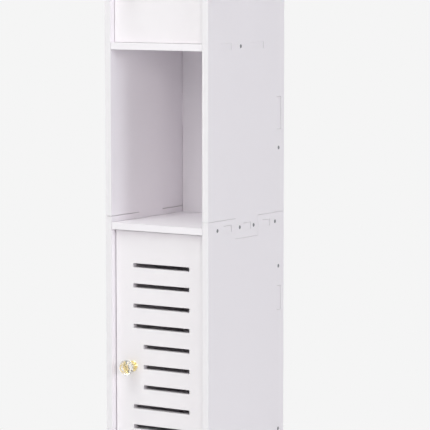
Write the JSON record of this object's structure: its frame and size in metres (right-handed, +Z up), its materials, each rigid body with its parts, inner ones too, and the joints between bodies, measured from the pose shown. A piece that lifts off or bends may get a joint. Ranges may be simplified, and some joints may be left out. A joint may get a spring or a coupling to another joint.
{
  "type": "toilet roll storage cabinet",
  "caption": "Tall slim white bathroom cabinet for toilet rolls: a slotted door below, an open niche, and a plain door above, both with crystal knobs.",
  "frame": {"origin": "middle of the footprint of the whole cabinet, knobs included, on the floor", "axes": "+Z up, +Y towards the back, +X towards the right as seen from the front, where the doors hang"},
  "size_m": [0.18, 0.223, 0.9],
  "materials": {
    "white_board": "satin",
    "zinc_steel": "satin",
    "hinge_steel": "satin",
    "gold_plate": "polished",
    "crystal": "polished",
    "catch_plastic": "gloss",
    "ferrite": "matte"
  },
  "bodies": {
    "cabinet": {"lower_side_left": "white_board", "lower_side_right": "white_board", "upper_side_left": "white_board", "upper_side_right": "white_board", "base_board": "white_board", "niche_floor": "white_board", "niche_ceiling": "white_board", "top_board": "white_board", "lower_back": "white_board", "upper_back": "white_board", "base_board_screws": "zinc_steel", "niche_floor_screws": "zinc_steel", "niche_ceiling_screws": "zinc_steel", "top_board_screws": "zinc_steel", "lower_back_screws": "zinc_steel", "upper_back_screws": "zinc_steel", "lower_hinge_1_carcass_leaf": "hinge_steel", "lower_hinge_1_pin": "hinge_steel", "lower_hinge_2_carcass_leaf": "hinge_steel", "lower_hinge_2_pin": "hinge_steel", "lower_hinge_carcass_screws": "zinc_steel", "lower_catch_housing": "catch_plastic", "lower_catch_magnet": "ferrite", "lower_catch_screws": "zinc_steel", "upper_hinge_1_carcass_leaf": "hinge_steel", "upper_hinge_1_pin": "hinge_steel", "upper_hinge_2_carcass_leaf": "hinge_steel", "upper_hinge_2_pin": "hinge_steel", "upper_hinge_carcass_screws": "zinc_steel", "upper_catch_housing": "catch_plastic", "upper_catch_magnet": "ferrite", "upper_catch_screws": "zinc_steel"},
    "lower_door": {"lower_door": "white_board", "lower_knob_base": "gold_plate", "lower_knob_crystal": "crystal", "lower_knob_screw": "zinc_steel", "lower_hinge_1_door_leaf": "hinge_steel", "lower_hinge_2_door_leaf": "hinge_steel", "lower_hinge_door_screws": "zinc_steel", "lower_strike_plate": "hinge_steel", "lower_strike_screw": "zinc_steel"},
    "upper_door": {"upper_door": "white_board", "upper_knob_base": "gold_plate", "upper_knob_crystal": "crystal", "upper_knob_screw": "zinc_steel", "upper_hinge_1_door_leaf": "hinge_steel", "upper_hinge_2_door_leaf": "hinge_steel", "upper_hinge_door_screws": "zinc_steel", "upper_strike_plate": "hinge_steel", "upper_strike_screw": "zinc_steel"}
  },
  "joints": [
    {"name": "lower_door_hinge", "type": "hinge", "parent": "cabinet", "child": "lower_door", "pos_m": [0.078, -0.089, 0.229], "axis": [0, 0, 1], "range_deg": [0, 110]},
    {"name": "upper_door_hinge", "type": "hinge", "parent": "cabinet", "child": "upper_door", "pos_m": [0.078, -0.089, 0.796], "axis": [0, 0, 1], "range_deg": [0, 110]}
  ]
}
